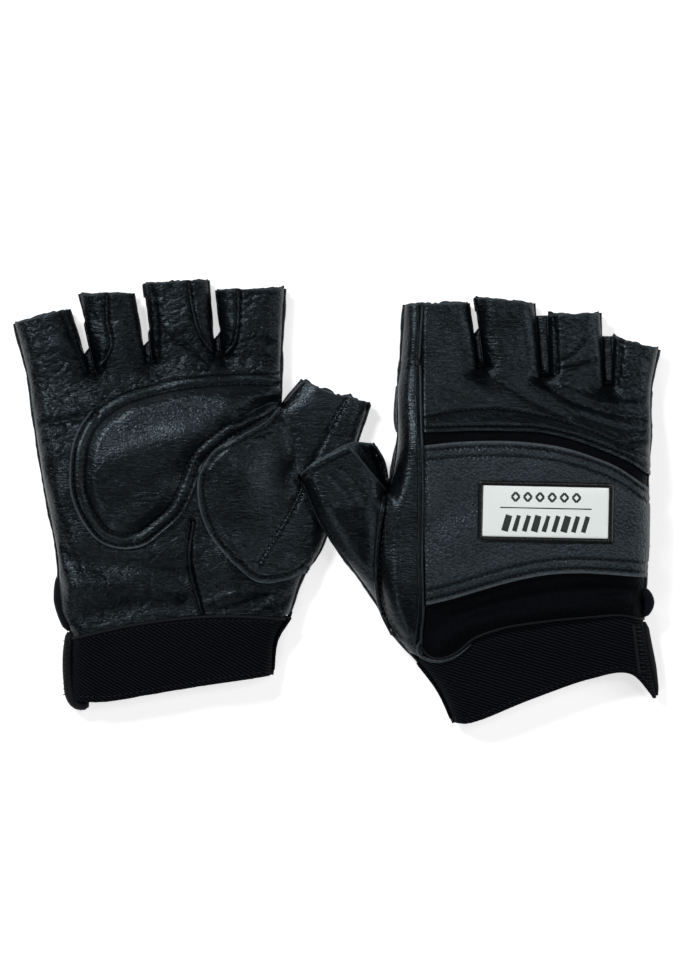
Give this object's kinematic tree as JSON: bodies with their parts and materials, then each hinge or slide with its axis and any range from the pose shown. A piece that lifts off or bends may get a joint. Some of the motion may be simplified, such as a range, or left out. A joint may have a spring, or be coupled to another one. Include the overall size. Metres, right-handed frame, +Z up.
{
  "type": "fingerless gloves",
  "caption": "Black leather fingerless gloves lying flat, one palm up and one knuckles up, with stretch back, strap, label plate, padded palm patch and elastic wrist cuff.",
  "frame": {"origin": "centre of the footprint of the two gloves, at the surface that they lie on", "axes": "+X to the right across both gloves, from the palm-up one to the knuckle-up one; +Y towards the finger openings; +Z up"},
  "size_m": [0.2798, 0.1906, 0.0251],
  "materials": {
    "leather": "soft drum-dyed glove leather with a fine grain and a low sheen",
    "strap_leather": "thicker grained leather, pebbled",
    "stretch_fabric": "ribbed stretch knit, matte",
    "twill_elastic": "woven elastic with a diagonal twill rib",
    "binding": "folded hem of the elastic with ladder stitching",
    "foam": "thin soft foam sheet",
    "label_rubber": "moulded black rim, stitched",
    "label_plate": "glossy white soft plastic"
  },
  "bodies": {
    "palm_up_hand": {"palm_up_palm_panel": "leather", "palm_up_palm_heel_panel": "leather", "palm_up_thumb_leaf": "leather", "palm_up_thumb_base_back": "leather", "palm_up_palm_patch": "leather", "palm_up_patch_foam": "foam", "palm_up_knuckle_panel": "leather", "palm_up_index_side_strip": "leather", "palm_up_back_stretch_panel": "stretch_fabric", "palm_up_back_strap": "strap_leather", "palm_up_label_frame": "label_rubber", "palm_up_label_plate": "label_plate"},
    "palm_up_little": {"palm_up_little_finger_front": "leather", "palm_up_little_finger_back": "leather", "palm_up_little_gusset_inner": "leather"},
    "palm_up_ring": {"palm_up_ring_finger_front": "leather", "palm_up_ring_finger_back": "leather", "palm_up_ring_gusset_outer": "leather", "palm_up_ring_gusset_inner": "leather"},
    "palm_up_middle": {"palm_up_middle_finger_front": "leather", "palm_up_middle_finger_back": "leather", "palm_up_middle_gusset_outer": "leather", "palm_up_middle_gusset_inner": "leather"},
    "palm_up_index": {"palm_up_index_finger_front": "leather", "palm_up_index_finger_back": "leather", "palm_up_index_gusset_outer": "leather"},
    "palm_up_thumb": {"palm_up_thumb_tip_palm": "leather", "palm_up_thumb_tip_back": "leather"},
    "palm_up_cuff": {"palm_up_wrist_elastic": "twill_elastic", "palm_up_cuff_side_seam": "binding"},
    "knuckle_up_hand": {"knuckle_up_palm_panel": "leather", "knuckle_up_palm_heel_panel": "leather", "knuckle_up_thumb_leaf": "leather", "knuckle_up_thumb_base_back": "leather", "knuckle_up_palm_patch": "leather", "knuckle_up_patch_foam": "foam", "knuckle_up_knuckle_panel": "leather", "knuckle_up_index_side_strip": "leather", "knuckle_up_back_stretch_panel": "stretch_fabric", "knuckle_up_back_strap": "strap_leather", "knuckle_up_label_frame": "label_rubber", "knuckle_up_label_plate": "label_plate"},
    "knuckle_up_index": {"knuckle_up_index_finger_front": "leather", "knuckle_up_index_finger_back": "leather", "knuckle_up_index_gusset_inner": "leather"},
    "knuckle_up_middle": {"knuckle_up_middle_finger_front": "leather", "knuckle_up_middle_finger_back": "leather", "knuckle_up_middle_gusset_outer": "leather", "knuckle_up_middle_gusset_inner": "leather"},
    "knuckle_up_ring": {"knuckle_up_ring_finger_front": "leather", "knuckle_up_ring_finger_back": "leather", "knuckle_up_ring_gusset_outer": "leather", "knuckle_up_ring_gusset_inner": "leather"},
    "knuckle_up_little": {"knuckle_up_little_finger_front": "leather", "knuckle_up_little_finger_back": "leather", "knuckle_up_little_gusset_outer": "leather"},
    "knuckle_up_thumb": {"knuckle_up_thumb_tip_palm": "leather", "knuckle_up_thumb_tip_back": "leather"},
    "knuckle_up_cuff": {"knuckle_up_wrist_elastic": "twill_elastic", "knuckle_up_cuff_side_seam": "binding"}
  },
  "joints": [
    {"name": "pair_spread", "type": "slide", "parent": "palm_up_hand", "child": "knuckle_up_hand", "axis": [1, 0, 0], "range_m": [0, 0.04]},
    {"name": "palm_up_little_fold", "type": "hinge", "parent": "palm_up_hand", "child": "palm_up_little", "pos_m": [-0.12075, 0.0548, 0.0142], "axis": [0.9814, 0.1918, 0], "range_deg": [0, 50]},
    {"name": "palm_up_ring_fold", "type": "hinge", "parent": "palm_up_hand", "child": "palm_up_ring", "pos_m": [-0.09375, 0.058, 0.0142], "axis": [0.9813, 0.1927, 0], "range_deg": [0, 50]},
    {"name": "palm_up_middle_fold", "type": "hinge", "parent": "palm_up_hand", "child": "palm_up_middle", "pos_m": [-0.06665, 0.06125, 0.0142], "axis": [0.9948, 0.1021, 0], "range_deg": [0, 50]},
    {"name": "palm_up_index_fold", "type": "hinge", "parent": "palm_up_hand", "child": "palm_up_index", "pos_m": [-0.03775, 0.06355, 0.0142], "axis": [0.9987, 0.0505, 0], "range_deg": [0, 50]},
    {"name": "knuckle_up_index_fold", "type": "hinge", "parent": "knuckle_up_hand", "child": "knuckle_up_index", "pos_m": [0.04315, 0.05895, 0.0142], "axis": [1, -0.0072, 0], "range_deg": [0, 45]},
    {"name": "knuckle_up_middle_fold", "type": "hinge", "parent": "knuckle_up_hand", "child": "knuckle_up_middle", "pos_m": [0.07485, 0.0561, 0.0142], "axis": [0.9999, -0.0126, 0], "range_deg": [0, 45]},
    {"name": "knuckle_up_ring_fold", "type": "hinge", "parent": "knuckle_up_hand", "child": "knuckle_up_ring", "pos_m": [0.10195, 0.0522, 0.0142], "axis": [0.9975, -0.0707, 0], "range_deg": [0, 45]},
    {"name": "knuckle_up_little_fold", "type": "hinge", "parent": "knuckle_up_hand", "child": "knuckle_up_little", "pos_m": [0.1255, 0.0488, 0.0142], "axis": [0.992, -0.1262, 0], "range_deg": [0, 45]},
    {"name": "palm_up_thumb_swing", "type": "hinge", "parent": "palm_up_hand", "child": "palm_up_thumb", "pos_m": [0.0054, 0.02015, 0.006], "axis": [0, 0, -1], "range_deg": [0, 15]},
    {"name": "knuckle_up_thumb_fold", "type": "hinge", "parent": "knuckle_up_hand", "child": "knuckle_up_thumb", "pos_m": [0.00585, -0.00145, 0.0252], "axis": [0.9263, 0.3768, 0], "range_deg": [0, 30]},
    {"name": "palm_up_cuff_fold", "type": "hinge", "parent": "palm_up_hand", "child": "palm_up_cuff", "pos_m": [-0.0683, -0.0532, 0.0152], "axis": [-0.9959, -0.0908, 0], "range_deg": [0, 45]},
    {"name": "knuckle_up_cuff_fold", "type": "hinge", "parent": "knuckle_up_hand", "child": "knuckle_up_cuff", "pos_m": [0.0825, -0.05995, 0.0152], "axis": [-0.9831, -0.1832, 0], "range_deg": [0, 40]}
  ]
}
